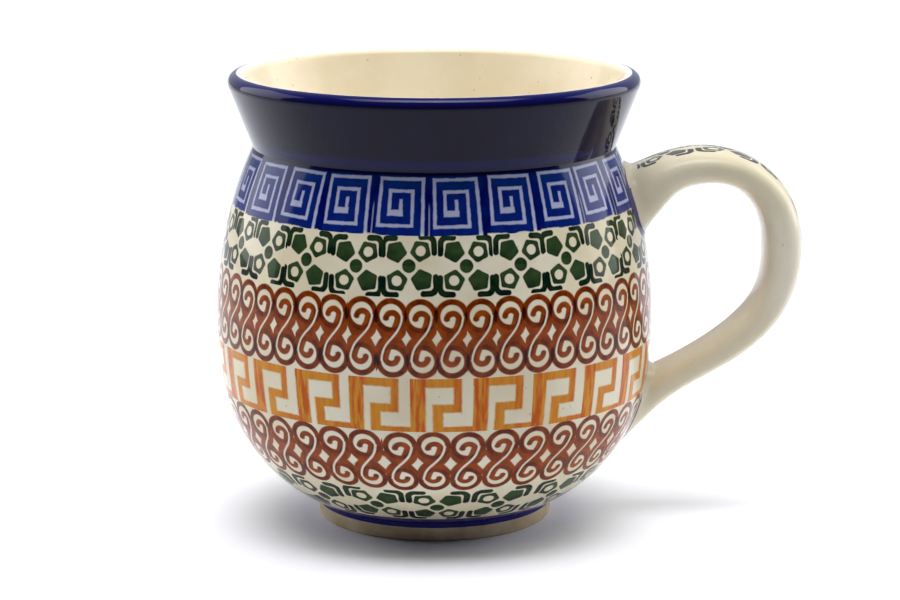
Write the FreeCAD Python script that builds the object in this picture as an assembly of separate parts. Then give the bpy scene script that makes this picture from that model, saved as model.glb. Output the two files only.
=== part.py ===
"""Stoneware bubble mug: a cast globe body with a flared collar, a strap handle and its glaze coats.

Millimetres. The origin is on the mug's axis in the plane of the foot, +Z is up and the handle is on +X.
Each function below builds one piece of the mug, and every piece is a separate solid.
"""
import FreeCAD
import Part
import math
import os

# Overall size
HEIGHT = 95.0
BELLY_RADIUS = 46.2
BELLY_HEIGHT = 43.0

# Globe wall: a long shoulder arc runs through the belly, and a tighter arc runs on down to the foot
SHOULDER_ARC = 87.0
LOWER_ARC = 35.0
ARC_BLEND_HEIGHT = 31.0
WALL = 4.2

# Collar: a straight flare from a sharp crease up to a rolled lip
NECK_RADIUS = 38.1
NECK_HEIGHT = 79.7
LIP_BEAD = 1.95
LIP_RADIUS = 43.1
NECK_THROAT_ARC = 10.0

# Foot ring and the shallow recess under the base
FOOT_RADIUS = 24.8
FOOT_INNER_RADIUS = 20.4
FOOT_ROUND = 0.6
RECESS_HEIGHT = 1.9

# Glaze coats and the slip that joins the handle to the wall
GLAZE = 0.4
SLIP = 0.8
SLIP_SPREAD = 0.9

# Handle: stations along the strap, each with its outer point, its inner point (x, z) and its width.
# The first and last stations are inside the wall, and the strap is trimmed where it meets the slip.
HANDLE_STATIONS = [
    ((37.0, 73.6), (37.5, 57.0), 21.0),
    ((42.6, 75.3), (45.2, 62.8), 20.0),
    ((48.6, 77.6), (50.3, 69.0), 18.6),
    ((57.0, 78.9), (57.2, 71.5), 18.0),
    ((66.6, 76.7), (63.9, 70.1), 17.8),
    ((74.5, 69.6), (68.1, 64.5), 17.5),
    ((77.7, 57.5), (69.3, 57.0), 17.2),
    ((74.6, 45.0), (68.0, 48.2), 16.8),
    ((65.4, 35.0), (60.6, 39.7), 16.5),
    ((53.5, 28.0), (49.8, 32.9), 16.8),
    ((46.0, 22.2), (43.9, 30.0), 18.0),
    ((40.4, 16.4), (40.8, 28.4), 19.2),
    ((34.0, 12.0), (36.5, 26.5), 20.0),
]
SECTION_POWER = 2.6
SECTION_POINTS = 24

# Centres shared by the inner and outer walls, so that every coat is a true offset
SHOULDER_CENTRE = (BELLY_RADIUS - SHOULDER_ARC, BELLY_HEIGHT)
BLEND_ANGLE = -math.asin((BELLY_HEIGHT - ARC_BLEND_HEIGHT) / SHOULDER_ARC)
LOWER_CENTRE = (
    SHOULDER_CENTRE[0] + (SHOULDER_ARC - LOWER_ARC) * math.cos(BLEND_ANGLE),
    SHOULDER_CENTRE[1] + (SHOULDER_ARC - LOWER_ARC) * math.sin(BLEND_ANGLE),
)
LIP_CENTRE = (LIP_RADIUS - LIP_BEAD, HEIGHT - LIP_BEAD)


def on_circle(centre, radius, angle):
    """The (r, z) point of a circle at an angle in radians, counted from +r."""
    return (centre[0] + radius * math.cos(angle), centre[1] + radius * math.sin(angle))


def vector(point):
    """A half-plane point (r, z) as a 3-D vector in the XZ plane."""
    return FreeCAD.Vector(point[0], 0, point[1])


def line(start, end):
    return Part.makeLine(vector(start), vector(end))


def arc(centre, radius, start_angle, end_angle):
    """An arc edge in the half plane, with its ends and its middle on the circle."""
    angles = (start_angle, (start_angle + end_angle) / 2, end_angle)
    points = [vector(on_circle(centre, radius, a)) for a in angles]
    return Part.Arc(*points).toShape()


def angle_at_height(centre, radius, height):
    return math.asin((height - centre[1]) / radius)


def angle_at_radius_below(centre, radius, r):
    """The angle where a circle passes radius r on its lower side."""
    return -math.acos((r - centre[0]) / radius)


def revolve(edges):
    """A solid of revolution about Z from the edges of a closed half-plane outline."""
    face = Part.Face(Part.Wire(Part.__sortEdges__(edges)))
    return face.revolve(FreeCAD.Vector(0, 0, 0), FreeCAD.Vector(0, 0, 1), 360)


def ends(edges):
    """The first and last (r, z) points of a run of edges that are listed in order."""
    wire = Part.Wire(edges)
    first = wire.OrderedVertexes[0].Point
    last = wire.OrderedVertexes[-1].Point
    return (first.x, first.z), (last.x, last.z)


def globe_outline(depth):
    """The globe's outer wall from foot to neck, a given depth inside the glazed surface."""
    foot_angle = angle_at_radius_below(LOWER_CENTRE, LOWER_ARC - depth, FOOT_RADIUS - depth)
    neck_angle = angle_at_height(SHOULDER_CENTRE, SHOULDER_ARC - depth, NECK_HEIGHT)
    return [
        arc(LOWER_CENTRE, LOWER_ARC - depth, foot_angle, BLEND_ANGLE),
        arc(SHOULDER_CENTRE, SHOULDER_ARC - depth, BLEND_ANGLE, neck_angle),
    ]


def collar_slope():
    """The angle, from +r, of the outward normal on the collar's straight flare.

    The flare runs from the crease at the neck and is tangent to the rolled lip.
    """
    across = LIP_CENTRE[0] - NECK_RADIUS
    up = LIP_CENTRE[1] - NECK_HEIGHT
    reach = math.hypot(across, up)
    return math.atan2(up, across) - math.acos(-LIP_BEAD / reach)


def collar_outline(depth):
    """The collar's outer face from the neck to the top of the lip, a given depth inside the glaze."""
    slope = collar_slope()
    lip_start = on_circle(LIP_CENTRE, LIP_BEAD - depth, slope)
    rise = lip_start[1] - NECK_HEIGHT
    neck = (lip_start[0] + rise * math.tan(slope), NECK_HEIGHT)
    return [line(neck, lip_start), arc(LIP_CENTRE, LIP_BEAD - depth, slope, math.pi / 2)]


def throat_centre():
    """The centre of the throat arc, tangent to the collar's inner face and the globe's inner wall."""
    normal = collar_slope()
    along = (math.sin(normal), -math.cos(normal))
    offset = NECK_THROAT_ARC - LIP_BEAD
    base = on_circle(LIP_CENTRE, offset, normal)
    away = (base[0] - SHOULDER_CENTRE[0], base[1] - SHOULDER_CENTRE[1])
    reach = SHOULDER_ARC - WALL + NECK_THROAT_ARC
    half = away[0] * along[0] + away[1] * along[1]
    rest = away[0] ** 2 + away[1] ** 2 - reach**2
    travel = -half - math.sqrt(half**2 - rest)
    return (base[0] + travel * along[0], base[1] + travel * along[1])


def inner_outline(depth):
    """The mug's inside from the middle of the floor to the top of the lip, a depth into the wall."""
    inside = LOWER_ARC - WALL + depth
    throat = throat_centre()
    throat_arc = NECK_THROAT_ARC - depth
    to_throat = math.atan2(throat[1] - SHOULDER_CENTRE[1], throat[0] - SHOULDER_CENTRE[0])
    facing = collar_slope() + math.pi
    floor = LOWER_CENTRE[1] - inside
    lip_inside = on_circle(LIP_CENTRE, LIP_BEAD - depth, facing)
    return [
        line((0, floor), (LOWER_CENTRE[0], floor)),
        arc(LOWER_CENTRE, inside, -math.pi / 2, BLEND_ANGLE),
        arc(SHOULDER_CENTRE, SHOULDER_ARC - WALL + depth, BLEND_ANGLE, to_throat),
        arc(throat, throat_arc, to_throat + math.pi, facing),
        line(on_circle(throat, throat_arc, facing), lip_inside),
        arc(LIP_CENTRE, LIP_BEAD - depth, facing, math.pi / 2),
    ]


def foot_outline():
    """The foot ring and the recess under the base, from the globe wall inwards to the axis."""
    top_angle = angle_at_radius_below(LOWER_CENTRE, LOWER_ARC, FOOT_RADIUS)
    outer_round = (FOOT_RADIUS - FOOT_ROUND, FOOT_ROUND)
    inner_round = (FOOT_INNER_RADIUS + FOOT_ROUND, FOOT_ROUND)
    return [
        line(on_circle(LOWER_CENTRE, LOWER_ARC, top_angle), (FOOT_RADIUS, FOOT_ROUND)),
        arc(outer_round, FOOT_ROUND, 0, -math.pi / 2),
        line((outer_round[0], 0), (inner_round[0], 0)),
        arc(inner_round, FOOT_ROUND, -math.pi / 2, -math.pi),
        line((FOOT_INNER_RADIUS, FOOT_ROUND), (FOOT_INNER_RADIUS, RECESS_HEIGHT)),
        line((FOOT_INNER_RADIUS, RECESS_HEIGHT), (0, RECESS_HEIGHT)),
    ]


def skin(outline):
    """A glaze coat: the space between an outline at the surface and the same outline one coat deeper."""
    surface = outline(0)
    clay = outline(GLAZE)
    surface_start, surface_end = ends(surface)
    clay_start, clay_end = ends(clay)
    return revolve(surface + clay + [line(surface_start, clay_start), line(surface_end, clay_end)])


def outside_solid(depth):
    """The whole mug body as if it were filled, used to trim what meets the outside of the wall."""
    globe = globe_outline(depth)
    collar = collar_outline(depth)
    foot, crease = ends(globe)
    neck, lip = ends(collar)
    edges = globe + collar + [line((0, 0), (foot[0], 0)), line((foot[0], 0), foot)]
    edges += [line(crease, neck), line(lip, (0, lip[1])), line((0, lip[1]), (0, 0))]
    return revolve(edges)


def strap(grow):
    """The handle strap, lofted through its stations and grown outwards by a margin."""
    sections = [strap_section(outer, inner, width, grow) for outer, inner, width in HANDLE_STATIONS]
    return Part.makeLoft(sections, True, False)


def strap_section(outer, inner, width, grow):
    """One rounded-rectangle section of the strap, in the plane that holds its two points and the Y axis."""
    middle = FreeCAD.Vector((outer[0] + inner[0]) / 2, 0, (outer[1] + inner[1]) / 2)
    across = FreeCAD.Vector(outer[0] - inner[0], 0, outer[1] - inner[1])
    half_thick = across.Length / 2 + grow
    half_wide = width / 2 + grow
    across.normalize()
    points = []
    for i in range(SECTION_POINTS):
        turn = 2 * math.pi * (i + 0.5) / SECTION_POINTS
        c = math.cos(turn)
        s = math.sin(turn)
        side = math.copysign(abs(c) ** (2 / SECTION_POWER), c) * half_wide
        rise = math.copysign(abs(s) ** (2 / SECTION_POWER), s) * half_thick
        points.append(middle + across * rise + FreeCAD.Vector(0, side, 0))
    curve = Part.BSplineCurve()
    curve.interpolate(Points=points, PeriodicFlag=True)
    return Part.Wire(curve.toShape())


def largest_solid(shape):
    return max(shape.Solids, key=lambda s: s.Volume)


def half_space(upper):
    """A block that holds everything above, or everything below, the height of the belly."""
    reach = 4 * BELLY_RADIUS
    bottom = BELLY_HEIGHT if upper else BELLY_HEIGHT - reach
    return Part.makeBox(reach, reach, reach, FreeCAD.Vector(-reach / 2, -reach / 2, bottom))


def stoneware_body():
    """The cast clay body: globe, collar, lip, floor and foot ring in one casting."""
    inner = inner_outline(GLAZE)
    collar = collar_outline(GLAZE)
    globe = globe_outline(GLAZE)
    foot = foot_outline()
    foot_top, foot_middle = ends(foot)
    globe_foot, crease = ends(globe)
    neck = ends(collar)[0]
    inner_floor = ends(inner)[0]
    edges = inner + collar + globe + foot
    edges += [line(crease, neck), line(globe_foot, foot_top), line(foot_middle, inner_floor)]
    return revolve(edges)


def handle():
    """The clay strap, trimmed a slip's thickness away from the glazed wall."""
    return largest_solid(strap(-GLAZE).cut(outside_solid(-SLIP)))


def slip_joint(upper):
    """The slip between one end of the handle and the wall, spread a little past the strap."""
    layer = outside_solid(-SLIP).cut(outside_solid(GLAZE))
    return largest_solid(strap(SLIP_SPREAD).common(half_space(upper)).common(layer))


def handle_glaze():
    """The clear glaze around the strap, from one slip joint to the other."""
    tube = strap(0.0).cut(strap(-GLAZE))
    return largest_solid(tube.cut(outside_solid(-SLIP)))


def outer_glaze():
    """The clear glaze over the decorated globe, open where the slip joints meet the clay."""
    return largest_solid(skin(globe_outline).cut(strap(SLIP_SPREAD)))


def collar_glaze():
    """The cobalt glaze from the crease up the collar to the top of the lip."""
    return skin(collar_outline)


def inner_glaze():
    """The clear glaze over the inside and the inner half of the lip."""
    return skin(inner_outline)


def underside_glaze():
    """The clear glaze disc in the recess, inside the foot ring."""
    return Part.makeCylinder(FOOT_INNER_RADIUS, GLAZE, FreeCAD.Vector(0, 0, RECESS_HEIGHT - GLAZE))


PIECES = {
    "stoneware_body": stoneware_body,
    "handle": handle,
    "upper_slip_joint": lambda: slip_joint(True),
    "lower_slip_joint": lambda: slip_joint(False),
    "inner_glaze": inner_glaze,
    "outer_glaze": outer_glaze,
    "collar_glaze": collar_glaze,
    "handle_glaze": handle_glaze,
    "underside_glaze": underside_glaze,
}

os.makedirs("parts", exist_ok=True)
for name, build in PIECES.items():
    solid = build()
    solid.exportStep(f"parts/{name}.step")
    box = solid.optimalBoundingBox()
    print(
        f"{name}: valid {solid.isValid()}, solids {len(solid.Solids)}, volume {solid.Volume:.1f} mm3,"
        f" x {box.XMin:.2f}..{box.XMax:.2f}, y {box.YMin:.2f}..{box.YMax:.2f},"
        f" z {box.ZMin:.2f}..{box.ZMax:.2f}"
    )
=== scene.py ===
"""Looks of the stoneware mug: smooth glazed shells, stamped bands, the strap handle and the studio.

The scene is in metres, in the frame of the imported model: the axis is Z, the foot stands on z = 0 and the
handle is on +X. Profiles and stamps are written in millimetres and scaled once, when a mesh is made.
"""
import math

import bpy
import numpy as np
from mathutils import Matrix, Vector


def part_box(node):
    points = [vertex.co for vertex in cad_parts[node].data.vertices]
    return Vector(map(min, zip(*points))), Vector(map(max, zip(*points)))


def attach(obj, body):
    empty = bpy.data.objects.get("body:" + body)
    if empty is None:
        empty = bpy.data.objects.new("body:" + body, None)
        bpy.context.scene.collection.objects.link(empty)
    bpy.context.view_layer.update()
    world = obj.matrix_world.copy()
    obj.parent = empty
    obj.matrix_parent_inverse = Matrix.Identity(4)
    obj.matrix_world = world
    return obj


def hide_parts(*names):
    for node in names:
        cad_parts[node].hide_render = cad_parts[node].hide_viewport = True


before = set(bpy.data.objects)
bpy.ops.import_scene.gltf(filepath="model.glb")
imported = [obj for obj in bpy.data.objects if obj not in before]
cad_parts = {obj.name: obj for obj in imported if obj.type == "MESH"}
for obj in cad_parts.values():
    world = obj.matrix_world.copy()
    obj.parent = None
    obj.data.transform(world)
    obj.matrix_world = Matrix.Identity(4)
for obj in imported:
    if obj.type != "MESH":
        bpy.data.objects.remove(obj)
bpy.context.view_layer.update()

MM = 0.001
TAU = 2 * math.pi


# ---------------------------------------------------------------- sizes


def highest(node):
    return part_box(node)[1].z / MM


def radius_of(node):
    """A round node's outer radius."""
    low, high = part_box(node)
    return (high.y - low.y) / 2 / MM


HEIGHT = highest("collar_glaze")
NECK_HEIGHT = highest("outer_glaze")
BELLY_RADIUS = radius_of("outer_glaze")
LIP_RADIUS = radius_of("collar_glaze")
RECESS_RADIUS = radius_of("underside_glaze")
RECESS_HEIGHT = highest("underside_glaze")
BELLY_HEIGHT = 43.0
SHOULDER_ARC = 87.0
LOWER_ARC = 35.0
ARC_BLEND_HEIGHT = 31.0
WALL = 4.2
GLAZE = 0.4
LIP_BEAD = 1.95
NECK_RADIUS = 38.1
THROAT_ARC = 10.0
FOOT_RADIUS = 24.8
FOOT_ROUND = 0.6
FOOT_LINE_PROUD = 0.12
LINE_BOTTOM = 3.0
CLAY_DEPTH = 0.3
STEPS_AROUND = 360

# Heights where one stamped band ends and the next begins, from the neck to the foot line
SPIRAL_TOP = 79.7
FLOWER_TOP = 67.9
SCROLL_TOP = 56.1
KEY_TOP = 39.95
LOWER_SCROLL_TOP = 28.85
LOWER_FLOWER_TOP = 14.9
FOOT_LINE_TOP = 6.3

# Heights that the rows of stamps are laid out from. A band's edge may cut them a little.
FLOWER_ROW = 62.0
SCROLL_ROW = 48.0
KEY_ROW_TOP = 39.9
LOWER_SCROLL_ROW = (28.9, 15.1)
LOWER_FLOWER_ROW = (15.1, 6.4)

# Parts of the baking area that a coat's edges and back get, and the clear margins in it
EDGE_SHARE = 0.03
BACK_SHARE = 0.06
SIDE_MARGIN = 0.01
ROW_MARGIN = 0.04

SHOULDER_CENTRE = np.array((BELLY_RADIUS - SHOULDER_ARC, BELLY_HEIGHT))
BLEND_ANGLE = -math.asin((BELLY_HEIGHT - ARC_BLEND_HEIGHT) / SHOULDER_ARC)
BLEND_NORMAL = np.array((math.cos(BLEND_ANGLE), math.sin(BLEND_ANGLE)))
LOWER_CENTRE = SHOULDER_CENTRE + (SHOULDER_ARC - LOWER_ARC) * BLEND_NORMAL
LIP_CENTRE = np.array((LIP_RADIUS - LIP_BEAD, HEIGHT - LIP_BEAD))
NECK_ANGLE = math.asin((NECK_HEIGHT - BELLY_HEIGHT) / SHOULDER_ARC)
SHOULDER_LENGTH = SHOULDER_ARC * (NECK_ANGLE - BLEND_ANGLE)
FOOT_ANGLE = -math.acos((FOOT_RADIUS - LOWER_CENTRE[0]) / LOWER_ARC)

# The strap: its outer point, its inner point (x, z) and its width at stations along it
HANDLE_STATIONS = [
    ((37.0, 73.6), (37.5, 57.0), 21.0),
    ((42.6, 75.3), (45.2, 62.8), 20.0),
    ((48.6, 77.6), (50.3, 69.0), 18.6),
    ((57.0, 78.9), (57.2, 71.5), 18.0),
    ((66.6, 76.7), (63.9, 70.1), 17.8),
    ((74.5, 69.6), (68.1, 64.5), 17.5),
    ((77.7, 57.5), (69.3, 57.0), 17.2),
    ((74.6, 45.0), (68.0, 48.2), 16.8),
    ((65.4, 35.0), (60.6, 39.7), 16.5),
    ((53.5, 28.0), (49.8, 32.9), 16.8),
    ((46.0, 22.2), (43.9, 30.0), 18.0),
    ((40.4, 16.4), (40.8, 28.4), 19.2),
    ((34.0, 12.0), (36.5, 26.5), 20.0),
]
SECTION_POWER = 2.6
STRAP_COLUMNS = 72
STRAP_ROWS = 900
ROWS_PER_FACE = 6
BURIED_DEPTH = 0.5
FILLET = 2.4
FILLET_STEPS = 11


# ---------------------------------------------------------------- profiles
# A run is a pair of arrays, points and normals, in the (r, z) half plane. All runs go round the mug the
# same way: from the middle of the floor up the inside, over the lip, and down the outside to the foot.


def arc_run(centre, radius, start, end, facing=1, step=0.6):
    angle = np.linspace(start, end, max(5, int(abs(end - start) * radius / step)))
    away = np.stack((np.cos(angle), np.sin(angle)), -1)
    return centre + radius * away, facing * away


def line_run(start, end, step=1.0):
    start = np.array(start, float)
    along = np.array(end, float) - start
    length = np.hypot(*along)
    points = start + along * np.linspace(0, 1, max(2, int(length / step)))[:, None]
    normal = np.array((-along[1], along[0])) / length
    return points, np.repeat(normal[None], len(points), 0)


def joined(*runs):
    """Runs end to end, without the points that they share."""
    points = [runs[0][0]] + [run[0][1:] for run in runs[1:]]
    normals = [runs[0][1]] + [run[1][1:] for run in runs[1:]]
    return np.concatenate(points), np.concatenate(normals)


def travel_to(height):
    """Distance down the globe's surface from the neck to a height."""
    if height >= ARC_BLEND_HEIGHT:
        return SHOULDER_ARC * (NECK_ANGLE - math.asin((height - BELLY_HEIGHT) / SHOULDER_ARC))
    angle = math.asin((height - LOWER_CENTRE[1]) / LOWER_ARC)
    return SHOULDER_LENGTH + LOWER_ARC * (BLEND_ANGLE - angle)


def globe_run(start, end, step=0.5):
    """The globe's surface between two distances down from the neck, and those distances."""
    travel = np.linspace(start, end, max(4, int((end - start) / step)))
    upper = (travel <= SHOULDER_LENGTH)[:, None]
    on_shoulder = NECK_ANGLE - travel / SHOULDER_ARC
    on_lower = BLEND_ANGLE - (travel - SHOULDER_LENGTH) / LOWER_ARC
    angle = np.where(upper[:, 0], on_shoulder, on_lower)
    normals = np.stack((np.cos(angle), np.sin(angle)), -1)
    arc = np.where(upper, SHOULDER_ARC, LOWER_ARC)
    points = np.where(upper, SHOULDER_CENTRE, LOWER_CENTRE) + normals * arc
    return points, normals, travel


def collar_slope():
    """Angle of the outward normal on the collar's flare, from the neck's crease tangent to the lip."""
    reach = LIP_CENTRE - (NECK_RADIUS, NECK_HEIGHT)
    return math.atan2(reach[1], reach[0]) - math.acos(-LIP_BEAD / np.hypot(*reach))


def unit(angle):
    return np.array((math.cos(angle), math.sin(angle)))


def throat_centre():
    """Centre of the throat arc, tangent to the collar's inner face and to the globe's inner wall."""
    normal = unit(collar_slope())
    along = np.array((normal[1], -normal[0]))
    base = LIP_CENTRE + normal * (THROAT_ARC - LIP_BEAD)
    away = base - SHOULDER_CENTRE
    half = away @ along
    reach = SHOULDER_ARC - WALL + THROAT_ARC
    return base + along * (-half - math.sqrt(half**2 - away @ away + reach**2))


def collar_run():
    slope = collar_slope()
    lip = arc_run(LIP_CENTRE, LIP_BEAD, math.pi / 2, slope, step=0.12)
    return joined(lip, line_run(lip[0][-1], (NECK_RADIUS, NECK_HEIGHT)))


def inside_run():
    """The inside, from the middle of the floor to the top of the lip."""
    throat = throat_centre()
    toward = throat - SHOULDER_CENTRE
    to_throat = math.atan2(toward[1], toward[0])
    facing = collar_slope() + math.pi
    upper = SHOULDER_ARC - WALL
    lower = LOWER_ARC - WALL
    floor = LOWER_CENTRE[1] - lower
    slope = throat + unit(facing) * THROAT_ARC, LIP_CENTRE + unit(facing) * LIP_BEAD
    return joined(
        line_run((0, floor), (LOWER_CENTRE[0], floor)),
        arc_run(LOWER_CENTRE, lower, -math.pi / 2, BLEND_ANGLE, facing=-1, step=1.4),
        arc_run(SHOULDER_CENTRE, upper, BLEND_ANGLE, to_throat, facing=-1, step=1.4),
        arc_run(throat, THROAT_ARC, to_throat + math.pi, facing),
        line_run(*slope),
        arc_run(LIP_CENTRE, LIP_BEAD, facing, math.pi / 2, step=0.12),
    )


def foot_run():
    """The foot ring, from under the glaze line to the corner of the recess."""
    inner = RECESS_RADIUS + FOOT_ROUND
    cove = (RECESS_RADIUS - FOOT_ROUND, RECESS_HEIGHT - GLAZE - FOOT_ROUND)
    return joined(
        line_run((FOOT_RADIUS, LINE_BOTTOM + GLAZE), (FOOT_RADIUS, FOOT_ROUND), step=0.3),
        arc_run((FOOT_RADIUS - FOOT_ROUND, FOOT_ROUND), FOOT_ROUND, 0, -math.pi / 2, step=0.1),
        line_run((FOOT_RADIUS - FOOT_ROUND, 0), (inner, 0), step=0.4),
        arc_run((inner, FOOT_ROUND), FOOT_ROUND, -math.pi / 2, -math.pi, step=0.1),
        arc_run(cove, FOOT_ROUND, 0, math.pi / 2, facing=-1, step=0.1),
    )


# ---------------------------------------------------------------- meshes


class Side:
    """One side of a closed shell: rows and columns of points, where the columns close on themselves.

    stamp is what the stamps are laid out by, with one more column than the points for the seam, and
    share is the part of the baking area that this side gets.
    """

    def __init__(self, points, stamp, share=1.0, normals=None):
        self.points = points
        self.stamp = stamp
        self.share = share
        self.normals = normals


def shell(name, sides, material, node, folds=4):
    """A piece made of sides that meet edge to edge. Its baking area is folded into rows.

    node names the nodes of the model that the piece stands for, with a space between two.
    """
    columns = sides[0].points.shape[1]
    total = sum(side.share for side in sides)
    faces = []
    stamps = []
    bakes = []
    offset = 0
    filled = 0.0
    for side in sides:
        rows = side.points.shape[0]
        grids = np.meshgrid(np.arange(rows - 1), np.arange(columns), indexing="ij")
        i, j = (grid.ravel() for grid in grids)
        corner_i = np.stack((i, i + 1, i + 1, i), -1)
        corner_j = np.stack((j, j, j + 1, j + 1), -1)
        faces.append(offset + corner_i * columns + corner_j % columns)
        stamps.append(side.stamp[corner_i, corner_j].reshape(-1, 2))
        steps = np.linalg.norm(np.diff(side.points[:, 0], axis=0), axis=-1)
        height = np.concatenate(((0,), np.cumsum(steps))) / max(steps.sum(), 1e-9)
        fold = (j * folds // columns)[:, None]
        across = SIDE_MARGIN + (1 - 2 * SIDE_MARGIN) * (corner_j * folds / columns - fold)
        level = ROW_MARGIN + (1 - 2 * ROW_MARGIN) * height[corner_i]
        up = filled + side.share / total * level
        bakes.append(np.stack((across, (fold + up) / folds), -1).reshape(-1, 2))
        offset += rows * columns
        filled += side.share / total
    faces = np.concatenate(faces)
    mesh = bpy.data.meshes.new(name)
    points = np.concatenate([side.points.reshape(-1, 3) for side in sides])
    mesh.from_pydata(points * MM, [], faces.tolist())
    mesh.shade_smooth()
    for layer, values in (("Stamp", stamps), ("OFBake", bakes)):
        uv = mesh.uv_layers.new(name=layer)
        uv.data.foreach_set("uv", np.concatenate(values).astype(np.float32).ravel())
    if all(side.normals is not None for side in sides):
        normals = np.concatenate([side.normals.reshape(-1, 3) for side in sides])
        mesh.normals_split_custom_set(normals[faces.ravel()])
    mesh.materials.append(material)
    piece = bpy.data.objects.new(name, mesh)
    bpy.context.collection.objects.link(piece)
    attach(piece, "root")
    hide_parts(*node.split())


def turned_side(points, normals, travel, share=1.0):
    """A profile run turned about the axis, with the turn and the travel as its stamp layout."""
    angle = np.arange(STEPS_AROUND) / STEPS_AROUND * TAU
    around = np.stack((np.cos(angle), np.sin(angle)), -1)

    def turn(run):
        flat = run[:, None, :1] * around[None]
        return np.concatenate((flat, np.repeat(run[:, None, 1:], STEPS_AROUND, 1)), -1)

    turns = np.linspace(0, 1, STEPS_AROUND + 1)
    stamp = np.stack(np.broadcast_arrays(turns[None, :], np.asarray(travel)[:, None]), -1)
    return Side(turn(points), stamp, share, turn(normals))


def edge_side(start, end, travel):
    """The narrow edge of a coat, from one profile point to another."""
    points, normals = line_run(start, end, step=GLAZE)
    return turned_side(points, normals, np.full(len(points), travel), EDGE_SHARE)


def coat(name, points, normals, travel, material, node, slot, depth=GLAZE):
    """A glaze coat around the axis: its surface, its two edges and its back, a depth inside."""
    back = points - normals * depth
    sides = [
        turned_side(points, normals, travel),
        edge_side(points[-1], back[-1], travel[-1]),
        turned_side(back[::-1], -normals[::-1], travel[::-1], BACK_SHARE),
        edge_side(back[0], points[0], travel[0]),
    ]
    shell(name, sides, material, node)


def run_length(points):
    return np.concatenate(((0,), np.cumsum(np.linalg.norm(np.diff(points, axis=0), axis=-1))))


# ---------------------------------------------------------------- materials


def srgb(red, green, blue):
    """A colour from its everyday 0 to 255 values, as the linear values that the shader takes."""
    linear = [
        ((c / 255 + 0.055) / 1.055) ** 2.4 if c > 10 else c / 255 / 12.92
        for c in (red, green, blue)
    ]
    return (*linear, 1.0)


def feed(value, socket):
    """Sets a node's input to a number or colour, or links it to a field or another node's output."""
    if isinstance(value, Field):
        value = value.socket
    if isinstance(value, bpy.types.NodeSocket):
        socket.id_data.links.new(value, socket)
    else:
        socket.default_value = value


class Field:
    """A number that varies over a surface. Arithmetic on it adds Math nodes to its material."""

    def __init__(self, socket):
        self.socket = socket

    def math(self, operation, *others):
        node = self.socket.id_data.nodes.new("ShaderNodeMath")
        node.operation = operation
        for socket, value in zip(node.inputs, (self, *others)):
            feed(value, socket)
        return Field(node.outputs[0])

    def __add__(self, other):
        return self.math("ADD", other)

    def __sub__(self, other):
        return self.math("SUBTRACT", other)

    def __mul__(self, other):
        return self.math("MULTIPLY", other)

    def __neg__(self):
        return self.math("MULTIPLY", -1.0)

    def __abs__(self):
        return self.math("ABSOLUTE")

    def low(self, other):
        return self.math("MINIMUM", other)

    def high(self, other):
        return self.math("MAXIMUM", other)

    def over(self, limit):
        return self.math("GREATER_THAN", limit)

    def ramp(self, start, end, low=0.0, high=1.0):
        """Runs smoothly from low, where the field is at start, to high, where it is at end."""
        node = self.socket.id_data.nodes.new("ShaderNodeMapRange")
        node.interpolation_type = "SMOOTHSTEP"
        for socket, value in zip(node.inputs, (self, start, end, low, high)):
            feed(value, socket)
        return Field(node.outputs[0])


def length(x, y):
    return (x * x + y * y).math("SQRT")


def sign_of(field):
    return field.math("SIGN")


def inverse(mask):
    return mask * -1.0 + 1.0


def box_distance(x, y, left, bottom, right, top):
    """Signed distance to an upright rectangle."""
    across = abs(x - (left + right) / 2) - (right - left) / 2
    up = abs(y - (bottom + top) / 2) - (top - bottom) / 2
    return across.high(up)


def nearest(distances):
    result = distances[0]
    for distance in distances[1:]:
        result = result.low(distance)
    return result


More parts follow.
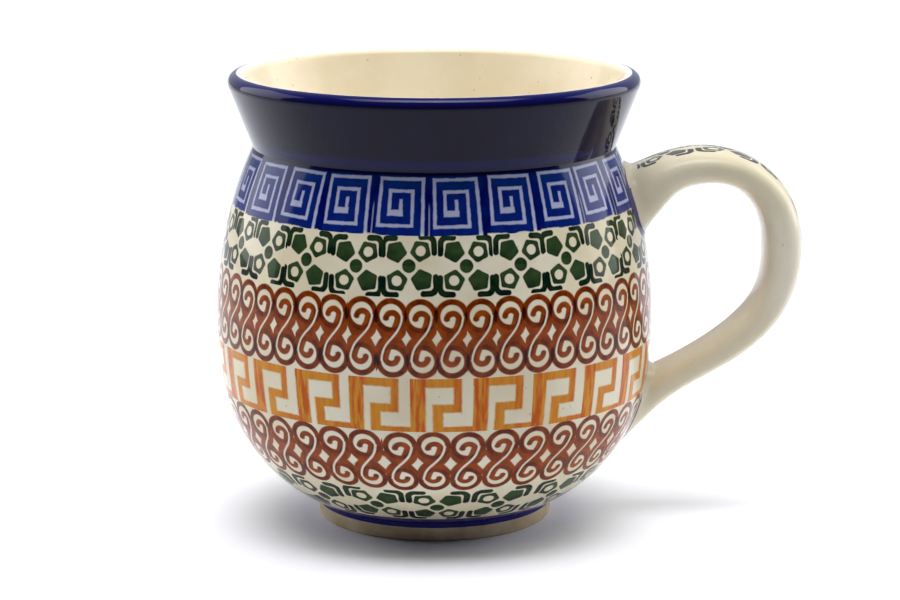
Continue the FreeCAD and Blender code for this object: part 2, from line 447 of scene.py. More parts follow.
class Finish:
    """A material under construction: its node tree, its coordinates in millimetres and its shader."""

    def __init__(self, name, roughness, ior=1.26):
        self.material = bpy.data.materials.new(name)
        self.material.use_nodes = True
        self.tree = self.material.node_tree
        self.shader = self.tree.nodes["Principled BSDF"]
        self.shader.inputs["Roughness"].default_value = roughness
        self.shader.inputs["IOR"].default_value = ior
        place = self.add("ShaderNodeTexCoord").outputs["Object"]
        scaled = self.add("ShaderNodeVectorMath", operation="SCALE")
        feed(place, scaled.inputs[0])
        feed(1 / MM, scaled.inputs["Scale"])
        self.place = scaled.outputs[0]
        layout = self.add("ShaderNodeUVMap", uv_map="Stamp")
        self.turn, self.travel = self.split(layout.outputs[0])[:2]

    def add(self, kind, **settings):
        node = self.tree.nodes.new(kind)
        for key, value in settings.items():
            setattr(node, key, value)
        return node

    def split(self, vector):
        node = self.add("ShaderNodeSeparateXYZ")
        feed(vector, node.inputs[0])
        return [Field(output) for output in node.outputs]

    def noise_node(self, scale, detail, seed):
        mapping = self.add("ShaderNodeMapping")
        feed(self.place, mapping.inputs["Vector"])
        feed((seed * 31.7, seed * 12.9, seed * 5.3), mapping.inputs["Location"])
        feed(scale if isinstance(scale, tuple) else (scale,) * 3, mapping.inputs["Scale"])
        node = self.add("ShaderNodeTexNoise")
        feed(mapping.outputs[0], node.inputs["Vector"])
        feed(1.0, node.inputs["Scale"])
        feed(detail, node.inputs["Detail"])
        return node

    def noise(self, scale, detail=2.0, seed=0):
        """Smooth noise about 0.5, with a number of waves for each millimetre."""
        return Field(self.noise_node(scale, detail, seed).outputs[0])

    def chance(self, cell, seed):
        """Three random numbers between 0 and 1 for each whole number."""
        node = self.add("ShaderNodeTexWhiteNoise", noise_dimensions="1D")
        feed(cell + seed * 7.31, node.inputs["W"])
        return self.split(node.outputs["Color"])

    def mix(self, under, over, amount):
        node = self.add("ShaderNodeMix", data_type="RGBA")
        colours = [socket for socket in node.inputs if socket.type == "RGBA"]
        feed(amount, node.inputs["Factor"])
        feed(under, colours[0])
        feed(over, colours[1])
        return next(socket for socket in node.outputs if socket.type == "RGBA")

    def finish(self, colour, height, roughness=None):
        """Colour and relief, in millimetres, on the shader."""
        bump = self.add("ShaderNodeBump")
        feed(MM, bump.inputs["Distance"])
        feed(height, bump.inputs["Height"])
        feed(bump.outputs[0], self.shader.inputs["Normal"])
        feed(colour, self.shader.inputs["Base Color"])
        if roughness is not None:
            feed(roughness, self.shader.inputs["Roughness"])
        return self.material

    def stamps(self, count, radius, origin, shift, seed, slip=0.35, tilt=0.05, wobble=0.12):
        """Local x and y, in millimetres, in the stamp that covers a point, and x without its faults.

        origin is how far down the surface y is zero, and shift moves the row by a part of a stamp. Each
        stamp is a little out of place and turned, and its edges wobble as a cut sponge's do.
        """
        pitch = TAU * radius / count
        place = self.turn * count + shift
        cell = place.math("FLOOR")
        x = (place - cell - 0.5) * pitch
        y = self.travel * -1.0 + origin
        across, up, turned = self.chance(cell, seed)
        lean = (turned - 0.5) * tilt
        ragged = self.noise_node(0.9, 3.0, seed + 3)
        ragged_x, ragged_y = self.split(ragged.outputs["Color"])[:2]
        local_x = x + (across - 0.5) * slip + lean * y + (ragged_x - 0.5) * wobble
        local_y = y + (up - 0.5) * slip - lean * x + (ragged_y - 0.5) * wobble
        return local_x, local_y, x


SPECK = srgb(150, 118, 82)
STRAP_CREAMS = (srgb(228, 221, 200), srgb(218, 208, 180))


def cream_ground(f, base=srgb(226, 219, 196), warm=srgb(215, 204, 174)):
    """Cream glaze over pale clay: soft warm clouds and a few iron specks."""
    cloud = f.noise(0.05, 4.0, 1).ramp(0.35, 0.65)
    ground = f.mix(base, warm, cloud)
    specks = f.noise(1.1, 1.0, 2).ramp(0.74, 0.80, 0.0, 0.5)
    return f.mix(ground, SPECK, specks)


def glaze_relief(f, mark=None):
    """The glaze's slow waves and its orange peel, and the thin step at the edge of a mark."""
    relief = f.noise(0.07, 1.0, 8) * 0.05 + f.noise(0.9, 2.0, 9) * 0.002
    if mark is not None:
        relief = relief + mark * 0.010
    return relief


def spiral_mark(f, count, radius, origin, shift):
    """Square spirals left white in a blue ground: where blue is, and how dark it is."""
    x, y, flat_x = f.stamps(count, radius, origin, shift, seed=11, slip=0.5, tilt=0.06)
    half_line = 0.31
    # The ends of each white line, as x, y and x, y
    lines = [
        (-4.4, 0.0, -4.4, 9.4),
        (-4.4, 9.4, 4.4, 9.4),
        (4.4, -4.0, 4.4, 9.4),
        (-4.4, 0.0, 2.3, 0.0),
        (2.3, 0.0, 2.3, 6.95),
        (-2.35, 6.95, 2.3, 6.95),
        (-2.35, 2.5, -2.35, 6.95),
        (-2.35, 2.3, 0.1, 2.85),
        (-0.05, 2.5, -0.05, 5.0),
    ]
    reach = np.array((-half_line, -half_line, half_line, half_line))
    boxes = (np.array(lines) + reach).tolist()
    white = nearest([box_distance(x, y, *box) for box in boxes])
    seam = f.chance((f.turn * float(count) + (shift + 0.5)).math("FLOOR"), 12)[0].over(0.6)
    half_pitch = TAU * radius / count / 2
    gap = abs(flat_x).ramp(half_pitch - 0.22, half_pitch - 0.08) * y.ramp(5.0, 3.0) * seam
    left_white = (white + f.noise(0.7, 2.0, 15) * 0.3 - 0.15).ramp(0.17, -0.13).high(gap * 0.55)
    printed = inverse(left_white)
    ends = (y + f.noise(0.35, 2.0, 13) * 1.2).ramp(-1.5, -1.15)
    overlap = abs(x).ramp(4.75, 5.1)
    cloudy = f.noise((0.5, 0.5, 0.18), 3.0, 14).ramp(0.3, 0.7)
    dark = overlap * 0.55 + cloudy * 0.35
    return printed * ends, dark, y


def flower_mark(f, count, radius, origin, shift, quarter_turn=False):
    """Four pentagon petals about a dot, two of them with holes, inside corner brackets."""
    x, y, _ = f.stamps(count, radius, origin, shift, seed=21, slip=0.6, tilt=0.14, wobble=0.2)
    flat_reach, corner_reach = 1.86, 2.16
    hole_radius = 1.02
    dot_radius = 1.36
    bracket_x, bracket_y = 5.25, 5.6
    bracket_end_x, bracket_end_y = 2.7, 2.4
    rounding = 1.3
    half_stroke = 0.6
    side_x = abs(x)
    side_y = abs(y)
    petal_x = side_x - 2.5
    petal_y = side_y - 2.85
    away = length(petal_x, petal_y)
    bearing = petal_y.math("ARCTAN2", petal_x) - math.radians(225 - 36)
    sector = bearing.math("FLOORED_MODULO", TAU / 5) - TAU / 10
    five_sided = away * sector.math("COSINE") - flat_reach
    petal = five_sided.high(away - corner_reach)
    product = x * y
    if quarter_turn:
        product = -product
    hole = (away * -1.0 + hole_radius).low(product * 4.0)
    petal = petal.high(hole)
    dot = length(x, y) - dot_radius
    corner_x = side_x - (bracket_x - rounding)
    corner_y = side_y - (bracket_y - rounding)
    beyond = length(corner_x.high(0.0), corner_y.high(0.0))
    outline = abs(beyond + corner_x.high(corner_y).low(0.0) - rounding)
    bracket = (outline - half_stroke).high(side_x * -1.0 + bracket_end_x)
    bracket = bracket.high(side_y * -1.0 + bracket_end_y)
    arm_end = length(side_x - bracket_end_x, side_y - bracket_y) - half_stroke
    stem_end = length(side_x - bracket_x, side_y - bracket_end_y) - half_stroke
    bracket = nearest([bracket, arm_end, stem_end])
    mark = nearest([petal, dot, bracket])
    pool = mark.ramp(-0.05, -0.4)
    patchy = f.noise(0.45, 3.0, 22).ramp(0.35, 0.7)
    one_side = (petal_x * 0.5 - petal_y * sign_of(y)).ramp(-0.4, 1.6)
    shade = inverse(pool) * 0.3 + patchy * 0.35 + one_side * 0.3 + bracket.ramp(0.1, -0.1) * 0.45
    return mark.ramp(0.13, -0.11), shade


def scroll_mark(f, count, radius, origin, shift, thread=0.21, size=1.0, seed=31):
    """Curled S scrolls: a white thread between two brown strokes, the same after half a turn.

    The upper half is drawn. A ring stands round a lobe, the thread sways from the ring's right side to
    the middle, and its left stroke ends in a curl inside the lobe. The next scroll's ring overlaps, and
    brown fills the space between two scrolls but for a diamond. thread is half the thread's width.
    """
    raw_x, raw_y, flat_x = f.stamps(
        count, radius, origin, shift, seed=seed, slip=0.3, tilt=0.06, wobble=0.14
    )
    sign = sign_of(raw_y)
    x = raw_x * sign * (1 / size)
    y = abs(raw_y) * (1 / size)
    pitch = TAU * radius / count / size
    half_pitch = pitch / 2
    lobe_x, lobe_y, lobe_radius = -0.1, 4.52, 2.28
    ring = 1.17
    ring_middle = lobe_radius + ring / 2
    swing, sway = 2.25, 2.55
    edge_swing, edge_sway, edge_lead = 3.7, 2.5, 1.7
    slant = 0.72
    stroke = 0.6
    curl_x, curl_y, curl_radius = 0.1, 3.85, 1.22
    curl_join = 0.2
    blob_radius = 0.62
    diamond_wide, diamond_high = half_pitch - 1.95, 1.75
    web_top = 3.3
    bend = (y * (1 / sway)).math("TANH")
    steepness = inverse(bend * bend) * (swing / sway)
    aside = (x - bend * swing).math("DIVIDE", length(steepness, 1.0))
    right_edge = ((y + edge_lead) * (1 / edge_sway)).math("TANH") * edge_swing
    left_edge = ((y - edge_lead) * (1 / edge_sway)).math("TANH") * edge_swing
    below_lobe = y - lobe_y
    from_lobe = length(x - lobe_x, below_lobe)
    outline = abs(from_lobe - ring_middle) - ring / 2
    right = ((x - right_edge) * slant).high(-aside + thread).high(below_lobe)
    left = ((left_edge - x) * slant).high(aside + thread).high(-from_lobe + lobe_radius)
    stem = abs(aside + (thread + stroke)) - stroke
    stem = stem.high(y - (curl_y + curl_join))
    curl = abs(length(x - curl_x, y - curl_y) - curl_radius) - stroke
    curl = curl.high(-y + (curl_y - curl_join))
    blob = length(x - (curl_x - curl_radius), y - (curl_y + curl_join)) - blob_radius
    between = abs(abs(x) - half_pitch)
    web = (-(y + between * (diamond_high / diamond_wide)) + diamond_high) * 0.5
    web = web.high(y - web_top).high(-from_lobe + lobe_radius)
    own = nearest([outline, right, left, stem, curl, blob, web])
    line = (abs(aside) - thread).high(below_lobe)
    own = own.high(-line)
    beside = abs(x - lobe_x) - pitch
    neighbour = abs(length(beside, below_lobe) - ring_middle) - ring / 2
    brown = own.low(neighbour)
    near_seam = abs(flat_x * (1 / size)).ramp(half_pitch - 1.0, half_pitch - 0.4)
    overlap = own.ramp(0.1, -0.3) * neighbour.ramp(0.1, -0.3) * near_seam
    on_ring = outline.ramp(0.05, -0.3)
    shadow_side = line.ramp(0.6, 0.15) * below_lobe.ramp(-3.6, -1.6) * aside.ramp(0.1, -0.3)
    blob_shade = blob.ramp(0.25, -0.3)
    patchy = f.noise(0.5, 3.0, seed + 2).ramp(0.3, 0.7)
    shade = on_ring * 0.35 + overlap * 0.55 + shadow_side * 0.4 + blob_shade * 0.25
    return brown.ramp(0.14, -0.12), shade + patchy * 0.45


def key_mark(f, count, radius, origin, shift):
    """Brushed orange keys: a wide bar, and a meander with a white hook above and below."""
    x, y, _ = f.stamps(count, radius, origin, shift, seed=41, slip=0.35, tilt=0.04, wobble=0.3)
    pitch = TAU * radius / count
    x = x + pitch / 2
    down = -y
    # Each bar's left, top, right and bottom, measured right and down from the row's top
    bars = [
        (0.0, -2.0, 3.2, 13.6),
        (-0.6, -2.0, 10.4, 1.65),
        (8.75, -2.0, 10.4, 6.9),
        (4.55, 5.1, 10.4, 6.9),
        (4.55, 5.1, 6.7, 13.6),
        (4.55, 9.85, pitch + 0.5, 13.6),
        (-0.5, 9.85, 1.5, 13.6),
    ]
    bar = nearest([box_distance(x, down, *corners) for corners in bars])
    ragged = f.noise(0.3, 2.0, 43) * 0.8
    ends = (down + ragged).ramp(12.1, 11.8) * (down + ragged).ramp(-0.2, 0.1)
    streak = f.noise((1.3, 1.3, 0.1), 3.0, 45).ramp(0.36, 0.64)
    wide = x.ramp(3.4, 3.1)
    limb = x.ramp(8.3, 9.3)
    pool = bar.ramp(-0.5, -0.05)
    rim = bar.ramp(-0.35, 0.05)
    shade = streak * (wide * 0.55 + 0.35) + limb * 0.3 + pool * 0.2 - rim * 0.45 + 0.12
    return bar.ramp(0.26, -0.24) * ends, shade


# Underglaze colours. A pair is the colour where it is thin and where it is thick.
BLUES = (srgb(8, 36, 116), srgb(0, 0, 78))
# Painted light, not an underglaze: the lighter blue of the spiral stamps' upper part, on the shoulder that
# faces up
PAINTED_LIGHT_BLUE = srgb(10, 54, 124)
SPIRAL_WHITE = srgb(168, 172, 198)
# Painted shade, not an underglaze: the dark blue that the spiral band turns to in the crease under the
# neck
CREASE_SHADE_BLUE = srgb(8, 6, 52)
GREENS = (srgb(50, 72, 40), srgb(4, 26, 18))
BROWNS = (srgb(152, 66, 10), srgb(50, 4, 2))
ORANGES = (srgb(206, 144, 34), srgb(186, 78, 0))
STRAP_GREENS = (srgb(44, 68, 72), srgb(8, 24, 40))
FOOT_LINE_BLUE = srgb(26, 22, 110)
SLIP_LINE_BLUE = srgb(22, 24, 98)


def pigment(f, under, colours, mark, shade, strength=1.0):
    """One colour of underglaze over what is under it, darker where it is thick."""
    tone = f.mix(colours[0], colours[1], shade.low(1.0).high(0.0))
    return f.mix(under, tone, mark * strength)


def band_finish(name):
    return Finish(name, roughness=0.07)


def spiral_finish():
    f = band_finish("spiral_glaze")
    printed, shade, y = spiral_mark(f, count=23, radius=41.3, origin=10.6, shift=-0.16)
    # Painted light: the upper part of each spiral stamp is painted a lighter blue
    painted_lit_top = y.ramp(6.6, 8.6, 0.0, 0.6)
    light = f.mix(BLUES[0], PAINTED_LIGHT_BLUE, painted_lit_top)
    washed = y.ramp(-2.2, -1.0)
    ground = f.mix(cream_ground(f), SPIRAL_WHITE, washed)
    colour = pigment(f, ground, (light, BLUES[1]), printed, shade)
    # Painted shade: the top of the band darkens into the crease under the neck
    crease = f.travel.ramp(1.05, 0.35)
    colour = f.mix(colour, CREASE_SHADE_BLUE, crease)
    return f.finish(colour, glaze_relief(f, printed))


def flower_finish(name, count, radius, origin, shift, quarter_turn):
    f = band_finish(name)
    mark, shade = flower_mark(f, count, radius, origin, shift, quarter_turn)
    colour = pigment(f, cream_ground(f), GREENS, mark, shade)
    return f.finish(colour, glaze_relief(f, mark))


def scroll_finish(name, **layout):
    f = band_finish(name)
    mark, shade = scroll_mark(f, **layout)
    colour = pigment(f, cream_ground(f), BROWNS, mark, shade)
    return f.finish(colour, glaze_relief(f, mark))


def key_finish():
    f = band_finish("key_glaze")
    mark, shade = key_mark(f, count=23, radius=46.1, origin=travel_to(KEY_ROW_TOP), shift=0.14)
    colour = pigment(f, cream_ground(f), ORANGES, mark, shade)
    return f.finish(colour, glaze_relief(f, mark))


def foot_line_finish():
    """Cream glaze that ends in the cobalt line around the foot."""
    f = band_finish("foot_line_glaze")
    start = travel_to(FOOT_LINE_TOP)
    uneven = f.noise(0.12, 2.0, 51) * 0.5
    line = (f.travel + uneven).ramp(start + 0.15, start + 0.4)
    colour = f.mix(cream_ground(f), FOOT_LINE_BLUE, line)
    return f.finish(colour, glaze_relief(f, line))


def cobalt_finish():
    """Deep cobalt glaze, thin and paler over the lip, with a painted highlight along the lip's crest and
    painted shade darkening it into the crease.
    """
    f = Finish("cobalt_glaze", roughness=0.06)
    cloud = f.noise(0.12, 4.0, 61).ramp(0.3, 0.7)
    colour = f.mix(srgb(13, 9, 40), srgb(9, 6, 32), cloud)
    colour = f.mix(colour, srgb(16, 18, 84), f.travel.ramp(3.4, 1.6))
    # Painted highlight: a near-white line along the crest of the lip
    crest = (f.travel + f.noise(0.3, 2.0, 62) * 0.2).ramp(0.34, 0.22)
    colour = f.mix(colour, srgb(228, 226, 224), crest)
    end = collar_length - 0.1
    colour = f.mix(colour, srgb(14, 14, 66), f.travel.ramp(end - 3.2, end - 1.6))
    # Painted shade: the last millimetre darkens to near black where the collar meets the crease
    colour = f.mix(colour, srgb(3, 4, 40), f.travel.ramp(end - 1.0, end))
    return f.finish(colour, glaze_relief(f))


def interior_finish():
    """Plain cream glaze, with a whiter painted highlight over the inner half of the lip."""
    f = Finish("interior_glaze", roughness=0.08)
    ground = cream_ground(f, srgb(248, 238, 212), srgb(240, 226, 196))
    # Painted highlight: the cream turns a whiter, cooler colour over the inner half of the lip
    lip = f.travel.ramp(inside_length - 1.6, inside_length - 0.5)
    colour = f.mix(ground, srgb(244, 242, 238), lip)
    return f.finish(colour, glaze_relief(f))


def strap_finish():
    """Cream glaze with a row of green stamps printed along the strap's outer face."""
    f = Finish("strap_glaze", roughness=0.08)
    mark, shade = strap_mark(f)
    ground = cream_ground(f, *STRAP_CREAMS)
    colour = pigment(f, ground, STRAP_GREENS, mark, shade, strength=0.95)
    return f.finish(colour, glaze_relief(f, mark))


def strap_mark(f):
    """The flower stamp along the strap's outer face, narrowed a little across it.

    Here turn is the distance along the strap in millimetres and travel the distance across it, so the
    count and the radius are those of stamps one pitch apart on a straight line.
    """
    pitch = 12.0
    narrowing = 1.25
    f.travel = f.travel * narrowing
    mark, shade = flower_mark(f, 1 / pitch, 1 / TAU, origin=0.0, shift=0.3)
    outer_face = abs(f.travel).ramp(7.2, 6.8)
    stretch = f.turn.ramp(66.0, 60.0) * f.turn.ramp(4.0, 6.0)
    return mark * outer_face * stretch, shade


def slip_finish(name, stroke_width):
    """The smoothed joint of strap and wall, cream, with a cobalt brush line around its wall edge."""
    f = Finish(name, roughness=0.09)
    side = abs((f.turn * TAU).math("SINE"))
    uneven = f.noise(0.25, 3.0, 81) * 0.5 + 0.5
    width = side * uneven * stroke_width
    line = (abs(f.travel - 0.3) - width).ramp(0.03, -0.03)
    colour = f.mix(cream_ground(f, *STRAP_CREAMS), SLIP_LINE_BLUE, line * 0.9)
    return f.finish(colour, glaze_relief(f, line))


def clay_finish():
    """Bare fired stoneware: fine grain, iron specks and the rings left by the sponge on the wheel."""
    f = Finish("bare_stoneware", roughness=0.72)
    grain = f.noise(3.2, 4.0, 91)
    cloud = f.noise(0.18, 4.0, 92).ramp(0.3, 0.7)
    colour = f.mix(srgb(200, 184, 156), srgb(176, 156, 124), cloud)
    colour = f.mix(colour, srgb(132, 106, 76), grain.ramp(0.66, 0.78, 0.0, 0.7))
    rings = f.noise((0.01, 0.01, 2.4), 2.0, 93)
    return f.finish(colour, grain * 0.06 + rings * 0.10, grain.ramp(0.3, 0.7, 0.62, 0.8))


def underside_finish():
    f = Finish("underside_glaze", roughness=0.12)
    return f.finish(cream_ground(f), glaze_relief(f))


# ---------------------------------------------------------------- the body's pieces


collar_points, collar_normals = collar_run()
collar_travel = run_length(collar_points)
collar_length = collar_travel[-1]
collar = collar_points, collar_normals, collar_travel
coat("collar", *collar, cobalt_finish(), "collar_glaze", "cobalt_glaze")

inside_points, inside_normals = inside_run()
inside_travel = run_length(inside_points)
inside_length = inside_travel[-1]
inside = inside_points, inside_normals, inside_travel
coat("interior", *inside, interior_finish(), "inner_glaze", "clear_glaze")

LOWER_FLOWER_TRAVEL = sum(travel_to(height) for height in LOWER_FLOWER_ROW) / 2
LOWER_SCROLL_TRAVEL = sum(travel_to(height) for height in LOWER_SCROLL_ROW) / 2
BANDS = [
    ("spiral_band", SPIRAL_TOP, FLOWER_TOP, spiral_finish()),
    (
        "upper_flower_band",
        FLOWER_TOP,
        SCROLL_TOP,
        flower_finish("upper_flower_glaze", 25, 44.7, travel_to(FLOWER_ROW), 0.19, False),
    ),
    (
        "upper_scroll_band",
        SCROLL_TOP,
        KEY_TOP,
        scroll_finish(
            "upper_scroll_glaze",
            count=48,
            radius=46.0,
            origin=travel_to(SCROLL_ROW),
            shift=-0.065,
        ),
    ),
    ("key_band", KEY_TOP, LOWER_SCROLL_TOP, key_finish()),
    (
        "lower_scroll_band",
        LOWER_SCROLL_TOP,
        LOWER_FLOWER_TOP,
        scroll_finish(
            "lower_scroll_glaze",
            count=40,
            radius=40.5,
            origin=LOWER_SCROLL_TRAVEL,
            shift=-0.49,
            thread=0.25,
            size=0.95,
            seed=35,
        ),
    ),
    (
        "lower_flower_band",
        LOWER_FLOWER_TOP,
        FOOT_LINE_TOP,
        flower_finish("lower_flower_glaze", 17, 33.0, LOWER_FLOWER_TRAVEL, -0.3, True),
    ),
]
for band, upper, lower, finish in BANDS:
    points, normals, travel = globe_run(travel_to(upper), travel_to(lower))
    coat(band, points, normals, travel, finish, "outer_glaze", "decorated_glaze")


def foot_line_band():
    """The last of the glaze: down the globe, over the corner and onto the foot's wall."""
    start = travel_to(FOOT_LINE_TOP)
    foot = SHOULDER_LENGTH + LOWER_ARC * (BLEND_ANGLE - FOOT_ANGLE)
    points, normals, _ = globe_run(start, foot)
    top = points[-1] + (FOOT_LINE_PROUD, 0)
    wall = line_run(top, (top[0], LINE_BOTTOM), step=0.2)
    run = np.concatenate((points[:-2], wall[0])), np.concatenate((normals[:-2], wall[1]))
    travel = start + run_length(run[0])
    finish = foot_line_finish()
    coat("foot_line_band", *run, travel, finish, "outer_glaze", "decorated_glaze")


def foot_ring():
    """The bare clay, which shows only at the foot ring."""
    run = foot_run()
    travel = run_length(run[0])
    finish = clay_finish()
    coat("foot_ring", *run, travel, finish, "stoneware_body", "bare_stoneware", CLAY_DEPTH)


def underside():
    """The glaze in the recess under the foot, a little domed towards the middle."""
    edge = RECESS_HEIGHT - GLAZE
    run = line_run((RECESS_RADIUS - 0.2, edge), (0.0, edge + 0.2))
    travel = run_length(run[0])
    coat("underside", *run, travel, underside_finish(), "underside_glaze", "clear_glaze")


foot_line_band()
foot_ring()
underside()


# ---------------------------------------------------------------- the strap and its joints


def smooth_through(knots, values, where):
    """A natural cubic spline through values at knots, read at other places."""
    gaps = np.diff(knots)
    count = len(knots)
    matrix = np.eye(count)
    right = np.zeros((count, values.shape[1]))
    slopes = np.diff(values, axis=0) / gaps[:, None]
    for i in range(1, count - 1):
        matrix[i, i - 1 : i + 2] = gaps[i - 1], 2 * (gaps[i - 1] + gaps[i]), gaps[i]
        right[i] = 6 * (slopes[i] - slopes[i - 1])
    bend = np.linalg.solve(matrix, right)
    k = np.clip(np.searchsorted(knots, where) - 1, 0, count - 2)
    gap = gaps[k][:, None]
    a = (knots[k + 1] - where)[:, None] / gap
    b = 1 - a
    curve = ((a**3 - a) * bend[k] + (b**3 - b) * bend[k + 1]) * gap**2 / 6
    return a * values[k] + b * values[k + 1] + curve


def squared_off(value):
    """A circle's coordinate, moved out so that the section is a circle with fuller corners."""
    return np.sign(value) * np.abs(value) ** (2 / SECTION_POWER)


def strap_surface():
    """The strap's surface as rows of sections, the distances along and round it, and its middle."""
    outer = np.array([station[0] for station in HANDLE_STATIONS])
    inner = np.array([station[1] for station in HANDLE_STATIONS])
    width = np.array([[station[2]] for station in HANDLE_STATIONS])
    middle = (outer + inner) / 2
    knots = run_length(middle)
    where = np.linspace(0, knots[-1], STRAP_ROWS)
    values = smooth_through(knots, np.concatenate((outer, inner, width), 1), where)
    centre = (values[:, :2] + values[:, 2:4]) / 2
    across = values[:, :2] - centre
    angle = (np.arange(STRAP_COLUMNS) + 0.5) / STRAP_COLUMNS * TAU - math.pi / 2
    side = squared_off(np.cos(angle))
    rise = squared_off(np.sin(angle))
    y = side[None, :] * values[:, 4:] / 2
    xz = centre[:, None, :] + across[:, None, :] * rise[None, :, None]
    points = np.stack((xz[..., 0], y, xz[..., 1]), -1)
    ring = np.concatenate((points, points[:, :1]), 1)
    girth = np.linalg.norm(np.diff(ring, axis=1), axis=-1).cumsum(1)
    around = np.concatenate((0 * girth[:, :1], girth), 1) - girth[:, -1:] / 2
    return points, where, around, centre


def wall_distance(points):
    """Height above the globe's glazed surface, and the surface's normal there."""
    radius = np.hypot(points[..., 0], points[..., 1])
    upper = (points[..., 2] >= ARC_BLEND_HEIGHT)[..., None]
    away = np.stack((radius, points[..., 2]), -1) - np.where(upper, SHOULDER_CENTRE, LOWER_CENTRE)
    reach = np.linalg.norm(away, axis=-1)
    normal = away / reach[..., None]
    flat = points[..., :2] / radius[..., None] * normal[..., :1]
    distance = reach - np.where(upper[..., 0], SHOULDER_ARC, LOWER_ARC)
    return distance, np.concatenate((flat, normal[..., 1:]), -1)


def leaves_wall(surface, height):
    """The points where each line along the strap first rises to a height above the wall."""
    distance = wall_distance(surface)[0]
    row = np.argmax(distance > height, axis=0)
    column = np.arange(surface.shape[1])
    below = distance[row - 1, column]
    part = ((height - below) / (distance[row, column] - below))[:, None]
    return surface[row - 1, column] * (1 - part) + surface[row, column] * part


def on_wall(points, height):
    distance, normal = wall_distance(points)
    return points + normal * (height - distance)[..., None]


def joint(name, surface, material, node):
    """The slip fillet that runs from the wall up onto one end of the strap."""
    foot = leaves_wall(surface, 0.0)
    up = leaves_wall(surface, FILLET)
    neighbours = np.roll(foot, -1, 0) - np.roll(foot, 1, 0)
    normal = wall_distance(foot)[1]
    outward = np.cross(neighbours, normal)
    outward /= np.linalg.norm(outward, axis=-1)[:, None]
    outward *= np.sign(np.sum(outward * (foot - foot.mean(0)), -1))[:, None]
    spread = on_wall(foot + outward * FILLET, -0.06)
    levels = np.linspace(0, 1, FILLET_STEPS)
    t = levels[:, None, None]
    front = (1 - t) ** 2 * spread + 2 * t * (1 - t) * foot + t**2 * up
    inner_up = up + (up.mean(0) - up) * 0.12
    inner_spread = spread - normal * 0.8
    turns = np.linspace(0, 1, STRAP_COLUMNS + 1)

    def side(rows, level, share):
        stamp = np.stack(np.broadcast_arrays(turns[None], level[:, None]), -1)
        return Side(np.stack(rows), stamp, share)

    plain = np.full(2, 0.9)
    sides = [
        side(front, levels, 1.0),
        side((up, inner_up), plain, 0.05),
        side((inner_up, inner_spread), plain, 0.1),
        side((inner_spread, spread), plain, 0.05),
    ]
    shell(name, sides, material, node, folds=2)


def cap(ring):
    """A flat end inside the wall: a ring of the strap, its middle, and a place without a stamp."""
    stamp = np.zeros((2, STRAP_COLUMNS + 1, 2)) + (0, 200.0)
    return ring, np.repeat(ring.mean(0)[None], STRAP_COLUMNS, 0), stamp


def strap(surface, along, around, centre):
    """The strap, without the rows at its ends that lie deep in the wall."""
    buried = wall_distance(centre[:, [0, 0, 1]] * (1, 0, 1))[0] < -BURIED_DEPTH
    first_row = int(np.argmin(buried))
    last_row = STRAP_ROWS - int(np.argmin(buried[::-1]))
    kept = np.arange(first_row, last_row, ROWS_PER_FACE)
    rows = surface[kept][:, ::-1]
    stamp = np.stack((np.repeat(along[kept][:, None], STRAP_COLUMNS + 1, 1), around[kept]), -1)
    top, top_middle, cap_stamp = cap(rows[0])
    end, end_middle, _ = cap(rows[-1])
    sides = [
        Side(rows, stamp[:, ::-1]),
        Side(np.stack((end, end_middle)), cap_stamp, 0.04),
        Side(np.stack((top_middle, top)), cap_stamp, 0.04),
    ]
    shell("strap", sides, strap_finish(), "handle handle_glaze", folds=2)


surface, along, around, centre = strap_surface()
strap(surface, along, around, centre)
joint("upper_joint", surface, slip_finish("upper_slip_glaze", 0.3), "upper_slip_joint")
joint("lower_joint", surface[::-1], slip_finish("lower_slip_glaze", 0.12), "lower_slip_joint")


# ---------------------------------------------------------------- studio


def floor():
    mesh = bpy.data.meshes.new("floor")
    half = 3.0
    corners = [(-half, -half, 0), (half, -half, 0), (half, half, 0), (-half, half, 0)]
    mesh.from_pydata(corners, [], [(0, 1, 2, 3)])
    piece = bpy.data.objects.new("floor", mesh)
    bpy.context.collection.objects.link(piece)
    finish = Finish("floor_paper", roughness=0.6)
    tint = finish.noise(0.02, 2.0, 1).ramp(0.2, 0.8)
    colour = finish.mix(srgb(248, 249, 255), srgb(244, 246, 254), tint)
    mesh.materials.append(finish.finish(colour, finish.noise(1.5, 2.0, 2) * 0.01))


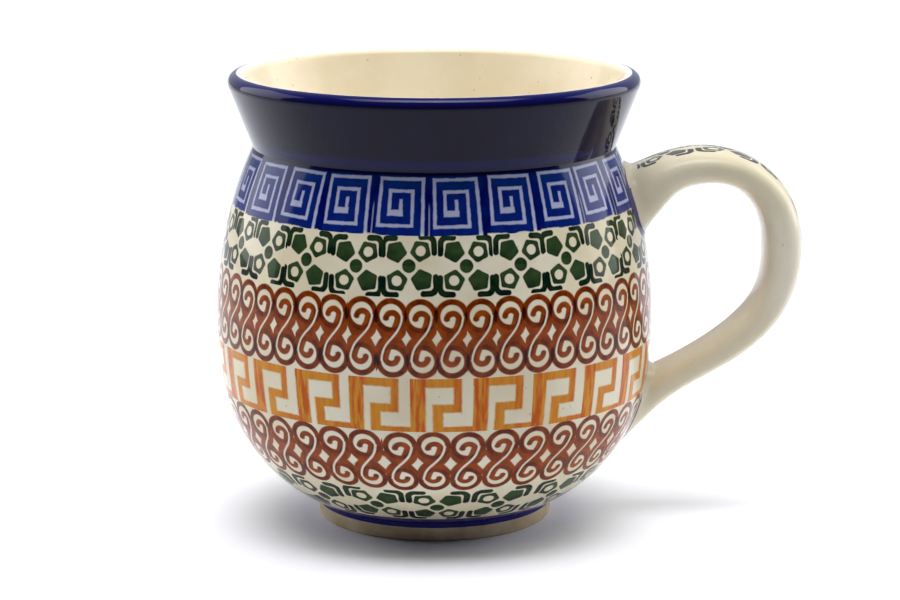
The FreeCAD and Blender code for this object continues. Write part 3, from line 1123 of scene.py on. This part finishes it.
def softbox(name, place, target, size, power, mirrored=True, spread=180):
    """A rectangular light. One that isn't mirrored lights the mug without showing in its glaze.

    spread is the angle that its grid lets through, which keeps the table in front of the mug dim.
    """
    light = bpy.data.lights.new(name, "AREA")
    light.shape = "RECTANGLE"
    light.size, light.size_y = size
    light.energy = power
    light.spread = math.radians(spread)
    lamp = bpy.data.objects.new(name, light)
    lamp.location = place
    lamp.rotation_euler = (Vector(target) - Vector(place)).to_track_quat("-Z", "Y").to_euler()
    lamp.visible_glossy = mirrored
    bpy.context.collection.objects.link(lamp)


def studio():
    """The floor, two side lights, a top light and a light for the floor behind the mug."""
    floor()
    middle = (0.01, 0, HEIGHT * MM / 2)
    side = (0.6, 0.6)
    softbox("left_softbox", (-0.66, 0.26, 0.32), middle, side, 1.05, spread=110)
    softbox("right_softbox", (0.68, 0.26, 0.32), middle, side, 1.35, spread=110)
    softbox("top_softbox", (0.0, -0.1, 0.95), (0.0, 0.03, 0.0), (1.0, 0.5), 2.2, spread=70)
    above, behind = (0.0, 1.15, 1.0), (0.0, 1.0, 0.0)
    softbox("backdrop_light", above, behind, (1.8, 0.8), 9.4, mirrored=False, spread=120)
    bpy.context.scene.view_settings.view_transform = "Standard"


def surroundings():
    """Soft light from all round, dim in front of the mug and bright behind it."""
    world = bpy.data.worlds.new("studio")
    world.use_nodes = True
    tree = world.node_tree
    background = tree.nodes["Background"]
    direction = tree.nodes.new("ShaderNodeSeparateXYZ")
    feed(tree.nodes.new("ShaderNodeTexCoord").outputs["Generated"], direction.inputs[0])
    strength = Field(direction.outputs["Y"]).ramp(-0.3, 0.7, 0.01, 0.56)
    feed(strength, background.inputs["Strength"])
    background.inputs["Color"].default_value = (0.95, 0.97, 1.0, 1)
    bpy.context.scene.world = world


def camera():
    """The camera, looking down at the mug and turned a little to the handle's side."""
    down, aside = 12.12, 0.33
    data = bpy.data.cameras.new("camera")
    data.lens = 110.0
    data.sensor_width = 36.0
    view = bpy.data.objects.new("camera", data)
    view.location = (0.0, -0.5719, 0.1688)
    view.rotation_euler = (math.radians(90 - down), 0, math.radians(-aside))
    bpy.context.collection.objects.link(view)
    bpy.context.scene.camera = view


studio()
surroundings()
camera()
